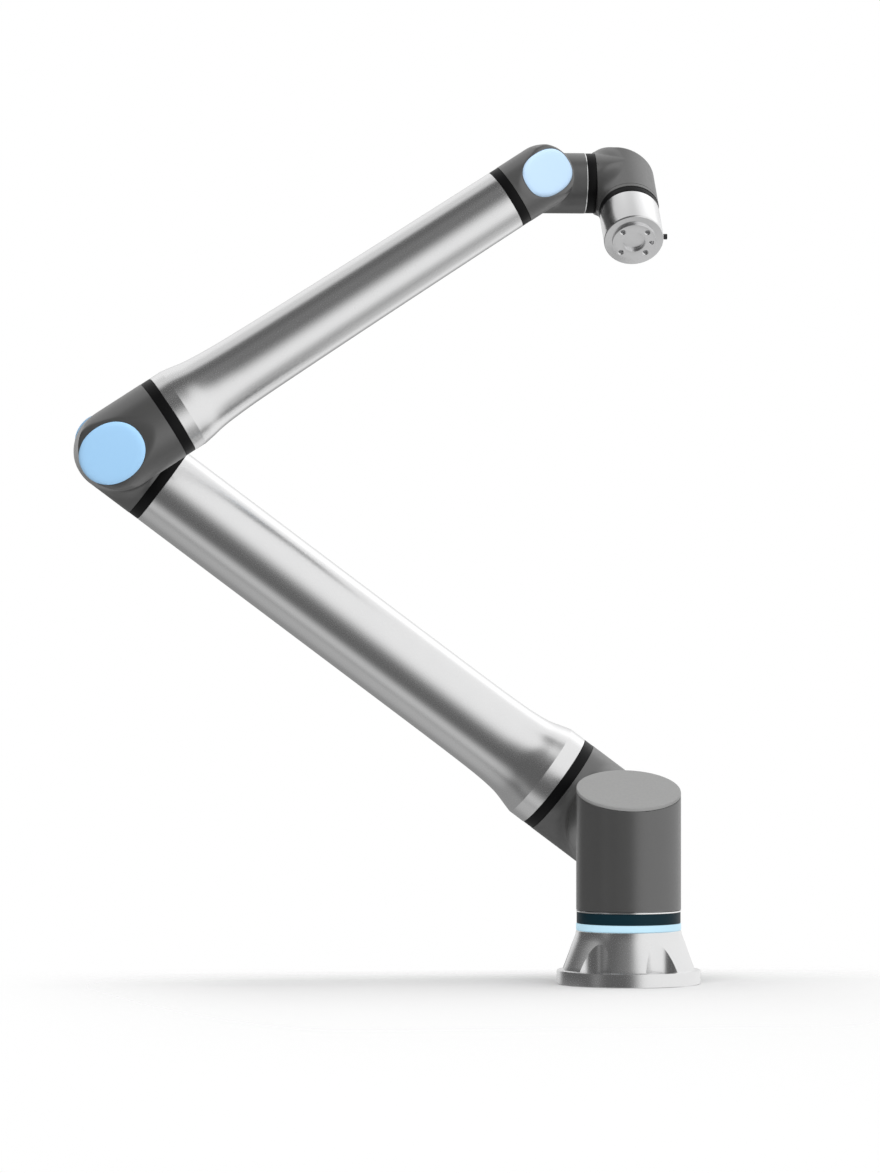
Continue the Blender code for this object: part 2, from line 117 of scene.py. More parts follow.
# ---- Materials
class Shade:
    """A small helper that wires one procedural material."""

    def __init__(self, name):
        self.material = bpy.data.materials.new(name)
        self.material.use_nodes = True
        self.tree = self.material.node_tree
        self.shader = self.tree.nodes["Principled BSDF"]
        self.place = self.add("ShaderNodeTexCoord").outputs["Object"]

    def add(self, kind, **values):
        node = self.tree.nodes.new(kind)
        for key, value in values.items():
            if key in node.inputs:
                node.inputs[key].default_value = value
            else:
                setattr(node, key, value)
        return node

    def link(self, start, end):
        self.tree.links.new(start, end)

    def noise(self, scale, detail=2.0, stretch=None):
        node = self.add("ShaderNodeTexNoise", Scale=scale, Detail=detail)
        place = self.place
        if stretch:
            mapping = self.add("ShaderNodeMapping", Scale=stretch)
            self.link(place, mapping.inputs["Vector"])
            place = mapping.outputs["Vector"]
        self.link(place, node.inputs["Vector"])
        return node.outputs["Fac"]

    def between(self, factor, low, high, start=0.3, end=0.7):
        node = self.add("ShaderNodeMapRange")
        node.inputs["From Min"].default_value = start
        node.inputs["From Max"].default_value = end
        node.inputs["To Min"].default_value = low
        node.inputs["To Max"].default_value = high
        self.link(factor, node.inputs["Value"])
        return node.outputs["Result"]

    def tint(self, factor, first, second):
        node = self.add("ShaderNodeMix", data_type="RGBA")
        node.inputs["A"].default_value = (*first, 1)
        node.inputs["B"].default_value = (*second, 1)
        for socket in node.inputs:
            if socket.name == "A" and socket.type == "RGBA":
                socket.default_value = (*first, 1)
            if socket.name == "B" and socket.type == "RGBA":
                socket.default_value = (*second, 1)
        self.link(factor, node.inputs["Factor"])
        result = [socket for socket in node.outputs if socket.type == "RGBA"][0]
        self.link(result, self.shader.inputs["Base Color"])

    def bump(self, height, distance, strength=1.0):
        node = self.add("ShaderNodeBump", Strength=strength, Distance=distance)
        self.link(height, node.inputs["Height"])
        self.link(node.outputs["Normal"], self.shader.inputs["Normal"])

    def set(self, **values):
        for key, value in values.items():
            self.shader.inputs[key.replace("_", " ")].default_value = value
        return self


def paint(name, dark, light, roughness, index):
    shade = Shade(name)
    shade.set(Metallic=0.0, IOR=index)
    shade.tint(shade.noise(14, 4), dark, light)
    shade.link(
        shade.between(shade.noise(260, 3), roughness - 0.04, roughness + 0.05),
        shade.shader.inputs["Roughness"],
    )
    shade.bump(shade.noise(2600, 2), 0.00002, 0.35)
    return shade.material


def metal(name, dark, light, roughness, grain=(1, 1, 1)):
    shade = Shade(name)
    shade.set(Metallic=1.0)
    shade.tint(shade.noise(30, 5), dark, light)
    shade.link(
        shade.between(shade.noise(900, 3, grain), roughness - 0.02, roughness + 0.03),
        shade.shader.inputs["Roughness"],
    )
    shade.bump(shade.noise(1900, 2, grain), 0.000008, 0.25)
    return shade.material


def plastic(name, dark, light, roughness, grain=1800, depth=0.00002, index=1.5):
    shade = Shade(name)
    shade.set(Metallic=0.0, IOR=index)
    shade.tint(shade.noise(20, 4), dark, light)
    shade.link(
        shade.between(shade.noise(240, 3), roughness - 0.04, roughness + 0.05),
        shade.shader.inputs["Roughness"],
    )
    shade.bump(shade.noise(grain, 2), depth, 0.4)
    return shade.material


def glow(name):
    shade = Shade(name)
    shade.set(Roughness=0.35, Emission_Strength=0.42)
    shade.tint(shade.noise(40, 2), (0.26, 0.38, 0.46), (0.30, 0.42, 0.50))
    shade.shader.inputs["Emission Color"].default_value = (0.55, 0.86, 1.0, 1)
    return shade.material


PAINT = paint("gray_paint", (0.042, 0.042, 0.0415), (0.047, 0.047, 0.0465), 0.34, 2.0)
LID_PAINT = paint("lid_paint", (0.226, 0.226, 0.224), (0.238, 0.238, 0.236), 0.44, 1.55)
ALUMINIUM = metal("satin_aluminium", (0.80, 0.80, 0.805), (0.83, 0.83, 0.83), 0.25)
TURNED = metal("turned_aluminium", (0.78, 0.78, 0.785), (0.82, 0.82, 0.825), 0.24)
BRIGHT = metal("bright_trim", (0.88, 0.88, 0.88), (0.93, 0.93, 0.93), 0.16)
STEEL = metal("machined_steel", (0.50, 0.50, 0.51), (0.58, 0.58, 0.59), 0.30)
COPPER = metal("motor_winding", (0.50, 0.25, 0.10), (0.66, 0.36, 0.16), 0.38, (1, 1, 8))
RUBBER = plastic("black_seal", (0.0028, 0.0028, 0.0030), (0.0040, 0.0040, 0.0043), 0.42, index=1.24)
# Black rubber tinted blue: painted glow of the light ring, which falls on the seal beside it
RUBBER_WITH_PAINTED_GLOW = plastic("seal_with_painted_glow", (0.004, 0.018, 0.026), (0.005, 0.021, 0.030), 0.42, index=1.2)
SOCKET = plastic("black_plastic", (0.012, 0.012, 0.013), (0.02, 0.02, 0.021), 0.45)
BLUE = plastic("blue_cap", (0.330, 0.570, 0.830), (0.350, 0.590, 0.850), 0.42, 1500, 0.000015)
BOARD = plastic("circuit_board", (0.015, 0.13, 0.05), (0.03, 0.19, 0.08), 0.5)
# A paler copy of the blue cap: painted light, for the brighter light that falls on the forearm's wrist cap
BLUE_WITH_PAINTED_LIGHT = plastic("blue_cap_with_painted_light", (0.440, 0.600, 0.780), (0.460, 0.620, 0.800), 0.42, 1500, 0.000015)
GLOW = glow("light_ring")


# ---- Mesh helpers
def place(along_x, along_z, origin):
    """The matrix of a frame whose +Z and +X lie along two given directions."""
    rows = Matrix((along_x, along_z.cross(along_x), along_z)).transposed()
    return Matrix.Translation(origin) @ rows.to_4x4()


def spun(axis, origin):
    side = X if abs(axis.dot(X)) < 0.9 else Y
    return place((side - axis * side.dot(axis)).normalized(), axis, origin)


def piece(name, mesh, look, body, slot, *nodes):
    """Links a mesh as a piece that rides on a body and stands for CAD nodes."""
    mesh.materials.clear()
    mesh.materials.append(look)
    made = bpy.data.objects.new(name, mesh)
    bpy.context.scene.collection.objects.link(made)
    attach(made, body)
    if nodes:
        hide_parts(*nodes)
    return made


def smooth(mesh, angle=32):
    mesh.shade_smooth()
    mesh.set_sharp_from_angle(angle=radians(angle))
    return mesh


def lathe(name, profile, matrix, sides=160, angle=32):
    """A turned mesh in world space; (radius, height) points from the axis or in a closed loop."""
    points, faces = [], []
    closed = profile[0][0] > 0
    turns = [(cos(2 * pi * i / sides), sin(2 * pi * i / sides)) for i in range(sides)]
    starts = []
    for radius, height in profile:
        starts.append(len(points))
        ring = turns if radius > 0 else [(0, 0)]
        points += [matrix @ Vector((radius * c, radius * s, height)) for c, s in ring]
    spans = list(zip(range(len(profile) - 1), range(1, len(profile))))
    if closed:
        spans.append((len(profile) - 1, 0))
    for a, b in spans:
        for i in range(sides):
            j = (i + 1) % sides
            one = [starts[a] + i, starts[a] + j] if profile[a][0] > 0 else [starts[a]]
            two = [starts[b] + j, starts[b] + i] if profile[b][0] > 0 else [starts[b]]
            faces.append(one + two)
    mesh = bpy.data.meshes.new(name)
    mesh.from_pydata(points, [], faces)
    fixed = bmesh.new()
    fixed.from_mesh(mesh)
    bmesh.ops.recalc_face_normals(fixed, faces=fixed.faces)
    fixed.to_mesh(mesh)
    fixed.free()
    return smooth(mesh, angle)


def eased(profile, ease=0.0006, steps=3):
    """Rounds the sharp corners of an open profile with short arcs."""
    made = [profile[0]]
    for before, here, after in zip(profile, profile[1:], profile[2:]):
        a, b, c = Vector(before), Vector(here), Vector(after)
        one, two = (a - b), (c - b)
        if one.length < 1e-7 or two.length < 1e-7:
            made.append(here)
            continue
        reach = min(ease, one.length * 0.45, two.length * 0.45)
        if one.normalized().dot(two.normalized()) < -0.97 or here[0] == 0:
            made.append(here)
            continue
        start, end = b + one.normalized() * reach, b + two.normalized() * reach
        for k in range(steps + 1):
            t = k / steps
            spot = start * (1 - t) ** 2 + b * 2 * t * (1 - t) + end * t * t
            made.append((spot.x, spot.y))
    made.append(profile[-1])
    return made


def curve_through(points, steps=10):
    """Points on a smooth curve through (distance, radius) stations."""
    made = []
    last = len(points) - 1
    for i in range(last):
        p0, p1 = Vector(points[max(i - 1, 0)]), Vector(points[i])
        p2, p3 = Vector(points[i + 1]), Vector(points[min(i + 2, last)])
        for k in range(steps):
            t = k / steps
            s1 = (p2 - p0) * (p2.x - p1.x) / max(p2.x - p0.x, 1e-9)
            s2 = (p3 - p1) * (p2.x - p1.x) / max(p3.x - p1.x, 1e-9)
            spot = (
                p1 * (2 * t**3 - 3 * t**2 + 1) + s1 * (t**3 - 2 * t**2 + t)
                + p2 * (3 * t**2 - 2 * t**3) + s2 * (t**3 - t**2)
            )
            made.append((p1.x + (p2.x - p1.x) * t, spot.y))
    made.append(tuple(points[-1]))
    return made


def boolean(target, cutter, operation="DIFFERENCE"):
    """Applies a Boolean between two meshes in world space and returns the new mesh."""
    first = bpy.data.objects.new("boolean_first", target)
    second = bpy.data.objects.new("boolean_second", cutter)
    for made in (first, second):
        bpy.context.scene.collection.objects.link(made)
    step = first.modifiers.new("cut", "BOOLEAN")
    step.operation = operation
    step.object = second
    bpy.context.view_layer.update()
    graph = bpy.context.evaluated_depsgraph_get()
    result = bpy.data.meshes.new_from_object(first.evaluated_get(graph))
    result.name = target.name
    for made in (first, second):
        bpy.data.objects.remove(made)
    return result


# ---- Joint housings
def smooth_min(a, b, blend):
    h = np.clip(0.5 + 0.5 * (b - a) / np.maximum(blend, 1e-9), 0, 1)
    return b * (1 - h) + a * h - blend * h * (1 - h)


def smooth_step(value, low, high):
    t = np.clip((value - low) / (high - low), 0, 1)
    return t * t * (3 - 2 * t)


SQUARE_CAP = (-0.135, 0.81, 0.71, 2.4)
ROUND_CAP = (-0.25, 0.785, 0.70, 2.1)
CAP_DEPTH = 0.72
CAP_SLOPE = tan(radians(21))
LID_DEPTH = 0.71
LID_SLOPE = tan(radians(18.4))


def tee_surface(radius, plane, link, depth, slope, is_round_back, fillet, edge, rim):
    """Points of a closed tee: rays from the centre on a grid with its poles at +Y and -Y."""
    across, around = 110, 240
    tilt = np.linspace(0, pi, across + 1)[1:-1]
    turn = np.arange(around) * 2 * pi / around
    tilt, turn = np.meshgrid(tilt, turn, indexing="ij")
    ux, uy, uz = np.sin(tilt) * np.cos(turn), np.cos(tilt), np.sin(tilt) * np.sin(turn)
    leg = radius / np.sqrt(np.maximum(ux**2 + uy**2, 1e-6))
    arm = radius / np.sqrt(np.maximum(uy**2 + uz**2, 1e-6))
    far = 2.2 * max(plane, link)
    leg, arm = np.minimum(leg, far), np.minimum(arm, far)
    fade = smooth_step(ux, 0, 0.60) * smooth_step(np.abs(uz), 0, 0.60)
    both = -smooth_min(-leg, -arm, fillet * fade)
    if is_round_back:
        reach = np.where(ux > 0, both, leg)
    else:
        soft = smooth_step(-ux, 0, 0.45) * smooth_step(-uz, 0, 0.45)
        less = smooth_min(leg, arm, edge * soft)
        reach = np.where(uz >= 0, np.where(ux > 0, both, leg), np.where(ux > 0, arm, less))
    facing = -uz - slope * ux
    back = np.where(facing > 1e-3, depth * radius / np.maximum(facing, 1e-3), far)
    reach = smooth_min(reach, back, rim)
    points = np.stack([ux, uy, uz], -1) * reach[..., None]
    top = Vector((0, radius, 0))
    rows = [[tuple(p) for p in row] for row in points]
    return rows, top


def tee(name, origin, to_plane, to_link, radius, plane, link, back=(CAP_DEPTH, CAP_SLOPE),
        is_round_back=False, fillet=0.020, edge=0.010, rim=0.008):
    """A finished housing mesh in world space, cut flat at the joint's plane and at the link."""
    rows, pole = tee_surface(radius, plane, link, *back, is_round_back, fillet, edge, rim)
    shape = bmesh.new()
    grid = [[shape.verts.new(p) for p in row] for row in rows]
    first, last = shape.verts.new(pole), shape.verts.new(-pole)
    around = len(rows[0])
    for above, below in zip(grid, grid[1:]):
        for i in range(around):
            j = (i + 1) % around
            shape.faces.new((above[i], above[j], below[j], below[i]))
    for i in range(around):
        j = (i + 1) % around
        shape.faces.new((first, grid[0][j], grid[0][i]))
        shape.faces.new((last, grid[-1][i], grid[-1][j]))
    for spot, out in ((Z * plane, Z), (X * link, X)):
        everything = shape.verts[:] + shape.edges[:] + shape.faces[:]
        cut = bmesh.ops.bisect_plane(
            shape, geom=everything, plane_co=spot, plane_no=out, clear_outer=True, dist=1e-6
        )
        rim = [item for item in cut["geom_cut"] if isinstance(item, bmesh.types.BMEdge)]
        ease = 0.0005
        for inward, back in ((ease * 0.3, 0), (0.0045, 0), (0.0045, 0.012)):
            made = bmesh.ops.extrude_edge_only(shape, edges=rim)["geom"]
            rim = [item for item in made if isinstance(item, bmesh.types.BMEdge)]
            ring = [item for item in made if isinstance(item, bmesh.types.BMVert)]
            for vert in ring:
                flat = vert.co - out * vert.co.dot(out)
                size = max(flat.length, 1e-6)
                level = spot.dot(out) - back
                vert.co = flat * ((radius - inward) / size) + out * level
        bmesh.ops.contextual_create(shape, geom=rim)
    bmesh.ops.recalc_face_normals(shape, faces=shape.faces)
    mesh = bpy.data.meshes.new(name)
    shape.to_mesh(mesh)
    shape.free()
    mesh.transform(place(to_link, to_plane, origin))
    return smooth(mesh, 40)


def outline_point(radius, shape, turn, scale=1.0, grow=0.0):
    """A point of the cap's outline, a rounded square that sits towards the outer end."""
    shift, long_half, wide_half, power = shape
    long = abs(cos(turn)) ** (2 / power) * (1 if cos(turn) >= 0 else -1)
    wide = abs(sin(turn)) ** (2 / power) * (1 if sin(turn) >= 0 else -1)
    x = shift * radius + long * (long_half * radius + grow) * scale
    return x, wide * (wide_half * radius + grow) * scale


def cap_meshes(name, origin, to_plane, to_link, radius, outline, is_round_back, sides=128):
    """A puffed cap and the cutter of the pocket that it sits in."""
    matrix = place(to_link, to_plane, origin)
    gap, sunk, crown, border = 0.0004, 0.0040, 0.0030, 0.30
    turns = [2 * pi * i / sides for i in range(sides)]

    def face(x, y):
        flat = CAP_DEPTH * radius + CAP_SLOPE * x
        round_side = sqrt(max(radius**2 - y * y, (0.3 * radius) ** 2))
        return flat if is_round_back else min(flat, round_side)

    shape = bmesh.new()
    layers = []
    steps = [k / 14 for k in range(1, 15)]
    for t in steps:
        edge = max(0.0, (t - (1 - border)) / border)
        rise = crown * sqrt(max(0.0, 1 - edge**2.2)) + 0.0006 * (1 - t * t)
        layer = []
        for turn in turns:
            x, y = outline_point(radius, outline, turn, t)
            layer.append(shape.verts.new((x, y, -(face(x, y) + rise - 0.0004))))
        layers.append(layer)
    low = []
    for turn in turns:
        x, y = outline_point(radius, outline, turn)
        low.append(shape.verts.new((x, y, -(face(x, y) - sunk + 0.0006))))
    layers.append(low)
    x0 = outline[0] * radius
    centre = shape.verts.new((x0, 0, -(face(x0, 0) + crown + 0.0002)))
    for i in range(sides):
        shape.faces.new((centre, layers[0][i], layers[0][(i + 1) % sides]))
    for inner, outer in zip(layers, layers[1:]):
        for i in range(sides):
            j = (i + 1) % sides
            shape.faces.new((inner[i], outer[i], outer[j], inner[j]))
    shape.faces.new(low)
    bmesh.ops.recalc_face_normals(shape, faces=shape.faces)
    cap = bpy.data.meshes.new(name)
    shape.to_mesh(cap)
    shape.free()
    cap.transform(matrix)

    cutter = bmesh.new()
    rings = []
    for lift in (0.6 * radius, -sunk):
        ring = []
        for turn in turns:
            x, y = outline_point(radius, outline, turn, 1, gap)
            ring.append(cutter.verts.new((x, y, -(CAP_DEPTH * radius + CAP_SLOPE * x + lift))))
        rings.append(ring)
    for i in range(sides):
        j = (i + 1) % sides
        cutter.faces.new((rings[0][i], rings[0][j], rings[1][j], rings[1][i]))
    cutter.faces.new(rings[0])
    cutter.faces.new(rings[1])
    bmesh.ops.recalc_face_normals(cutter, faces=cutter.faces)
    pocket = bpy.data.meshes.new(name + "_pocket")
    cutter.to_mesh(pocket)
    cutter.free()
    pocket.transform(matrix)
    return smooth(cap, 50), pocket


def make_joint(stem, body, origin, to_plane, to_link, radius, plane, link, outline=SQUARE_CAP,
               groove=0.0, **shape):
    """A housing with its cap, standing for two CAD nodes."""
    is_round_back = shape.get("is_round_back", False)
    # The forearm's wrist cap gets the paler copy of the blue cap, which is painted light
    look = BLUE_WITH_PAINTED_LIGHT if stem == "forearm_wrist" else BLUE
    shell = tee(stem + "_housing_shell", origin, to_plane, to_link, radius, plane - JOINT_GAP, link,
                **shape)
    cap, pocket = cap_meshes(stem + "_cap_cover", origin, to_plane, to_link, radius, outline,
                             is_round_back)
    shell = boolean(shell, pocket)
    if groove:
        line = ring_mesh("groove", radius * 1.1, radius - 0.0010, groove, groove + 0.0007,
                         place(to_link, to_plane, origin), 0)
        shell = boolean(shell, line)
    piece(stem + "_housing_shell", smooth(shell, 40), PAINT, body, "gray_paint", stem + "_housing")
    piece(stem + "_cap_cover", cap, look, body, "blue_cap", stem + "_cap")


def make_housings():
    low, high = SHOULDER + Y * UPPER_ARM_Y, ELBOW + Y * UPPER_ARM_Y
    make_joint("upper_arm_shoulder", "upper_arm", low, -Y, UP_LINK, SHOULDER_RADIUS,
               UPPER_ARM_Y - SHOULDER_PLANE_Y, UPPER_LOW_BAND)
    make_joint("upper_arm_elbow", "upper_arm", high, -Y, -UP_LINK, ELBOW_RADIUS,
               UPPER_ARM_Y - ELBOW_PLANE_Y, UPPER_TOP_BAND, ROUND_CAP)
    low, high = ELBOW + Y * FOREARM_Y, WRIST + Y * FOREARM_Y
    make_joint("forearm_elbow", "forearm", low, Y, OUT_LINK, ELBOW_RADIUS,
               ELBOW_PLANE_Y - FOREARM_Y, FORE_LOW_BAND, ROUND_CAP)
    make_joint("forearm_wrist", "forearm", high, Y, -OUT_LINK, FOREARM_END_RADIUS,
               WRIST_1_PLANE_Y - FOREARM_Y, FORE_TOP_BAND)
    make_joint("wrist_1", "wrist_1", WRIST_1, X, -Y, WRIST_RADIUS, WRIST_1_END + JOINT_GAP,
               WRIST_1.y - WRIST_1_PLANE_Y - JOINT_GAP)
    make_joint("wrist_2", "wrist_2", WRIST_2, TOOL_AXIS, -X, WRIST_RADIUS, WRIST_2_END + JOINT_GAP,
               WRIST_2_LINK, groove=0.0585, is_round_back=True, rim=0.012, fillet=0.030)


def make_shoulder():
    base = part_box("shoulder_housing")[0][2]
    shell = tee("shoulder_housing_shell", SHOULDER, -Z, Y, SHOULDER_RADIUS, SHOULDER.z - base,
                SHOULDER_PLANE_Y - JOINT_GAP, (LID_DEPTH, LID_SLOPE), True, 0.024, rim=0.001)
    piece("shoulder_housing_shell", shell, PAINT, "shoulder", "gray_paint", "shoulder_housing")
    matrix = place(Y, -Z, SHOULDER)
    shape = bmesh.new()
    sides = 200
    profile = [(1.0, 0.0003), (1.0, 0.0022), (0.996, 0.0034), (0.988, 0.0041), (0.97, 0.0044),
               (0.90, 0.0044), (0.6, 0.0044), (0.3, 0.0044)]
    layers = []
    for scale, lift in profile:
        layer = []
        for i in range(sides):
            x, y = (scale * SHOULDER_RADIUS * f(2 * pi * i / sides) for f in (cos, sin))
            layer.append(shape.verts.new((x, y, -(LID_DEPTH * SHOULDER_RADIUS + LID_SLOPE * x + lift))))
        layers.append(layer)
    for below, above in zip(layers, layers[1:]):
        for i in range(sides):
            j = (i + 1) % sides
            shape.faces.new((below[i], below[j], above[j], above[i]))
    shape.faces.new(layers[0])
    shape.faces.new(layers[-1])
    bmesh.ops.recalc_face_normals(shape, faces=shape.faces)
    lid = bpy.data.meshes.new("shoulder_lid_cover")
    shape.to_mesh(lid)
    shape.free()
    lid.transform(matrix)
    piece("shoulder_lid_cover", smooth(lid, 30), LID_PAINT, "shoulder", "lid_paint", "shoulder_lid")


# ---- Turned pieces
def ring_mesh(name, outer, inner, low, high, matrix, ease=0.0005):
    middle = (low + high) / 2
    profile = [(inner, middle), (inner, high), (outer, high), (outer, low), (inner, low),
               (inner, middle - 1e-5)]
    return lathe(name, eased(profile, ease) if ease else profile, matrix, 200)


def make_band(name, body, start, axis, distance, radius, width=BAND):
    mesh = ring_mesh(name, radius - 0.0003, radius - 0.0080, distance + SEAM, distance + width - SEAM,
                     spun(axis, start), 0.0007)
    piece(name, mesh, RUBBER, body, "black_seal", name.replace("_sleeve", ""))


def make_tube(name, body, start, axis, collar, stations, end, end_radius):
    """A tube whose straight collar meets a flowing flare at a crisp line."""
    flare = curve_through(stations)
    outside = [(collar[0], collar[1]), (stations[0][0], collar[1])] + flare[1:]
    path = [(r, d) for d, r in outside]
    profile = [(path[0][0] - 0.0005, collar[0])] + [(path[0][0], collar[0] + 0.0005)] + path[1:-1]
    profile += [(end_radius, end - 0.0005), (end_radius - 0.0005, end)]
    profile += [(end_radius - 0.0045, end), (end_radius - 0.0045, collar[0])]
    mesh = lathe(name, profile, spun(axis, start), 220, 3.2)
    piece(name, mesh, ALUMINIUM, body, "satin_aluminium", name.replace("_sleeve", ""))


def make_links():
    low, high = SHOULDER + Y * UPPER_ARM_Y, ELBOW + Y * UPPER_ARM_Y
    make_band("upper_arm_lower_band_sleeve", "upper_arm", low, UP_LINK, UPPER_LOW_BAND,
              SHOULDER_RADIUS)
    make_band("upper_arm_upper_band_sleeve", "upper_arm", high, -UP_LINK, UPPER_TOP_BAND,
              ELBOW_RADIUS)
    end = UPPER_LENGTH - UPPER_TOP_BAND - BAND
    make_tube("upper_arm_tube_sleeve", "upper_arm", low, UP_LINK, (0.1045, 0.0743), [
        (0.1290, 0.0743), (0.1400, 0.0712), (0.1620, 0.0650), (0.1840, 0.0622), (0.2130, 0.0608),
        (0.2600, 0.0601), (0.3400, 0.0598), (end, 0.0598),
    ], end, 0.0598)
    low, high = ELBOW + Y * FOREARM_Y, WRIST + Y * FOREARM_Y
    make_band("forearm_lower_band_sleeve", "forearm", low, OUT_LINK, FORE_LOW_BAND, ELBOW_RADIUS)
    make_band("forearm_upper_band_sleeve", "forearm", high, -OUT_LINK, FORE_TOP_BAND,
              FOREARM_END_RADIUS, NARROW_BAND)
    end = FORE_LENGTH - FORE_TOP_BAND - NARROW_BAND
    make_tube("forearm_tube_sleeve", "forearm", low, OUT_LINK, (0.0885, 0.0600), [
        (0.1060, 0.0600), (0.1200, 0.0578), (0.1400, 0.0542), (0.1600, 0.0522), (0.2000, 0.0501),
        (0.2900, 0.0483), (0.4200, 0.0466), (0.5600, 0.0454), (end, 0.0448),
    ], end, 0.0448)
    bore = WRIST_RADIUS - WRIST_RING_WALL
    piece("wrist_1_trim_ring_sleeve",
          ring_mesh("wrist_1_trim_ring_sleeve", WRIST_RADIUS, bore, 0.0765, 0.0780,
                    spun(X, WRIST_1), 0.0003),
          BRIGHT, "wrist_1", "satin_aluminium", "wrist_1_trim_ring")
    piece("wrist_2_joint_seal_sleeve",
          ring_mesh("wrist_2_joint_seal_sleeve", WRIST_RADIUS - 0.0004, bore, 0.0784, 0.0910,
                    spun(X, WRIST_1), 0.0006),
          RUBBER, "wrist_2", "black_seal", "wrist_2_joint_seal")


def make_foot():
    profile = [
        (0, 0.028), (0.058, 0.028), (0.058, 0.064), (0.066, 0.064), (0.066, 0.0760), (0.0738, 0.0760),
        (0.0745, 0.0752), (0.0755, 0.0700), (0.0785, 0.0620), (0.0830, 0.0520), (0.0868, 0.0432),
        (0.0905, 0.0350), (0.0940, 0.0270), (0.0958, 0.0230), (0.0965, 0.0206), (0.0978, 0.0200),
        (FOOT_RADIUS - 0.0018, 0.0200), (FOOT_RADIUS - 0.0005, 0.0195), (FOOT_RADIUS, 0.0182),
        (FOOT_RADIUS, 0.0010), (FOOT_RADIUS - 0.0010, 0), (0, 0),
    ]
    cast = lathe("base_casting_body", profile, Matrix(), 240, 30)
    for number in range(6):
        azimuth = radians(60 * number - 157.5)
        spoke = Vector((sin(azimuth), -cos(azimuth), 0))
        for radius, circle, low, high in (
            (POCKET_RADIUS, POCKET_CIRCLE, 0.0202, 0.0720),
            (BOLT_HOLE, BOLT_CIRCLE, -0.01, 0.03),
        ):
            cutter = lathe("cutter", [(0, high), (radius, high), (radius, low), (0, low)],
                           Matrix.Translation(spoke * circle), 120, 30)
            cast = boolean(cast, cutter)
    cast = boolean(cast, lathe("cutter", [(0, 0.15), (0.0115, 0.15), (0.0115, 0.0), (0, 0.0)],
                               spun(Y, Z * 0.045), 48, 30))
    piece("base_casting_body", smooth(cast, 24), ALUMINIUM, "base", "satin_aluminium", "base_casting")
    piece("base_light_guide",
          ring_mesh("base_light_guide", 0.0746, FOOT_RING_BORE, 0.0763, 0.0858, Matrix(), 0.0012),
          GLOW, "base", "light_ring", "base_light_ring")
    # The seal's blue tint is painted glow from the light ring just below it
    piece("base_seal_band",
          ring_mesh("base_seal_band", 0.0737, FOOT_RING_BORE, 0.0861, 0.1015, Matrix(), 0.0006),
          RUBBER_WITH_PAINTED_GLOW, "base", "black_seal", "base_joint_seal")
    piece("shoulder_trim_band",
          ring_mesh("shoulder_trim_band", 0.0744, FOOT_RING_BORE, 0.1021, 0.1040, Matrix(), 0.0004),
          BRIGHT, "shoulder", "satin_aluminium", "shoulder_trim_ring")


def make_tool():
    tool = place(X, TOOL_AXIS, WRIST_2)
    face, start = TOOL_REACH, WRIST_3_START
    profile = eased([
        (0, face - 0.0062), (0.01575, face - 0.0062), (0.01575, face), (0.0315, face),
        (0.0315, face - 0.0050), (0.0422, face - 0.0050), (TOOL_RADIUS, face - 0.0070), (TOOL_RADIUS, start),
        (0.0370, start), (0.0370, 0.1230), (0, 0.1230),
    ], 0.0007, 4)
    body = lathe("tool_flange_body", profile, tool, 200, 30)
    out = Matrix.Translation(X * TOOL_BOLT_CIRCLE)
    for number in range(4):
        turn = Matrix.Rotation(pi / 4 + number * pi / 2, 4, "Z") @ out
        hole = [(0, face + 0.01), (0.0043, face + 0.01), (0.0043, face - 0.0002),
                (0.0030, face - 0.0013), (0.0030, face - 0.012), (0, face - 0.012)]
        body = boolean(body, lathe("cutter", hole, tool @ turn, 48, 30))
    dowel = [(0, face + 0.01), (0.0036, face + 0.01), (0.0036, face - 0.0002), (0.0030, face - 0.0008),
             (0.0030, face - 0.008), (0, face - 0.008)]
    body = boolean(body, lathe("cutter", dowel, tool @ out, 48, 30))
    stub = spun(X, WRIST_2 + TOOL_AXIS * CONNECTOR_REACH)
    hole = [(0, 0.06), (0.0050, 0.06), (0.0050, 0.0395), (0, 0.0395)]
    body = boolean(body, lathe("cutter", hole, stub, 48, 30))
    piece("tool_flange_body", smooth(body, 24), TURNED, "wrist_3", "satin_aluminium", "tool_flange")
    piece("wrist_3_seal_band",
          ring_mesh("wrist_3_seal_band", TOOL_RADIUS, 0.0365, 0.0653, 0.0767, tool, 0.0006),
          RUBBER, "wrist_2", "black_seal", "wrist_3_joint_seal")


# ---- Materials of the CAD nodes that stay as they are
def dress_inner_nodes():
    looks = {
        "_stator": COPPER, "_rotor": STEEL, "_gear_ring": STEEL, "_output_flange": STEEL,
        "_board": BOARD, "_socket": SOCKET, "_connector": SOCKET,
    }
    for name, node in NODES.items():
        for ending, look in looks.items():
            if name.endswith(ending):
                node.data.materials.clear()
                node.data.materials.append(look)
                smooth(node.data, 35)


# ---- Studio
def math_node(tree, operation, a, b=None):
    node = tree.nodes.new("ShaderNodeMath")
    node.operation = operation
    for socket, value in zip(node.inputs, (a, b)):
        if value is None:
            continue
        if isinstance(value, bpy.types.NodeSocket):
            tree.links.new(value, socket)
        else:
            socket.default_value = value
    return node.outputs[0]


def ramp_node(tree, value, start, end, low=0.0, high=1.0):
    node = tree.nodes.new("ShaderNodeMapRange")
    node.interpolation_type = "SMOOTHSTEP"
    for key, number in (("From Min", start), ("From Max", end), ("To Min", low), ("To Max", high)):
        node.inputs[key].default_value = number
    tree.links.new(value, node.inputs["Value"])
    return node.outputs["Result"]


def window(tree, value, centre, half, soft):
    """1 within half of the centre and 0 beyond it, with a soft edge; the value is an angle that wraps."""
    turn = tree.nodes.new("ShaderNodeMath")
    turn.operation = "WRAP"
    tree.links.new(math_node(tree, "SUBTRACT", value, centre), turn.inputs[0])
    turn.inputs[1].default_value, turn.inputs[2].default_value = pi, -pi
    return ramp_node(tree, math_node(tree, "ABSOLUTE", turn.outputs[0]), half - soft, half + soft, 1.0, 0.0)


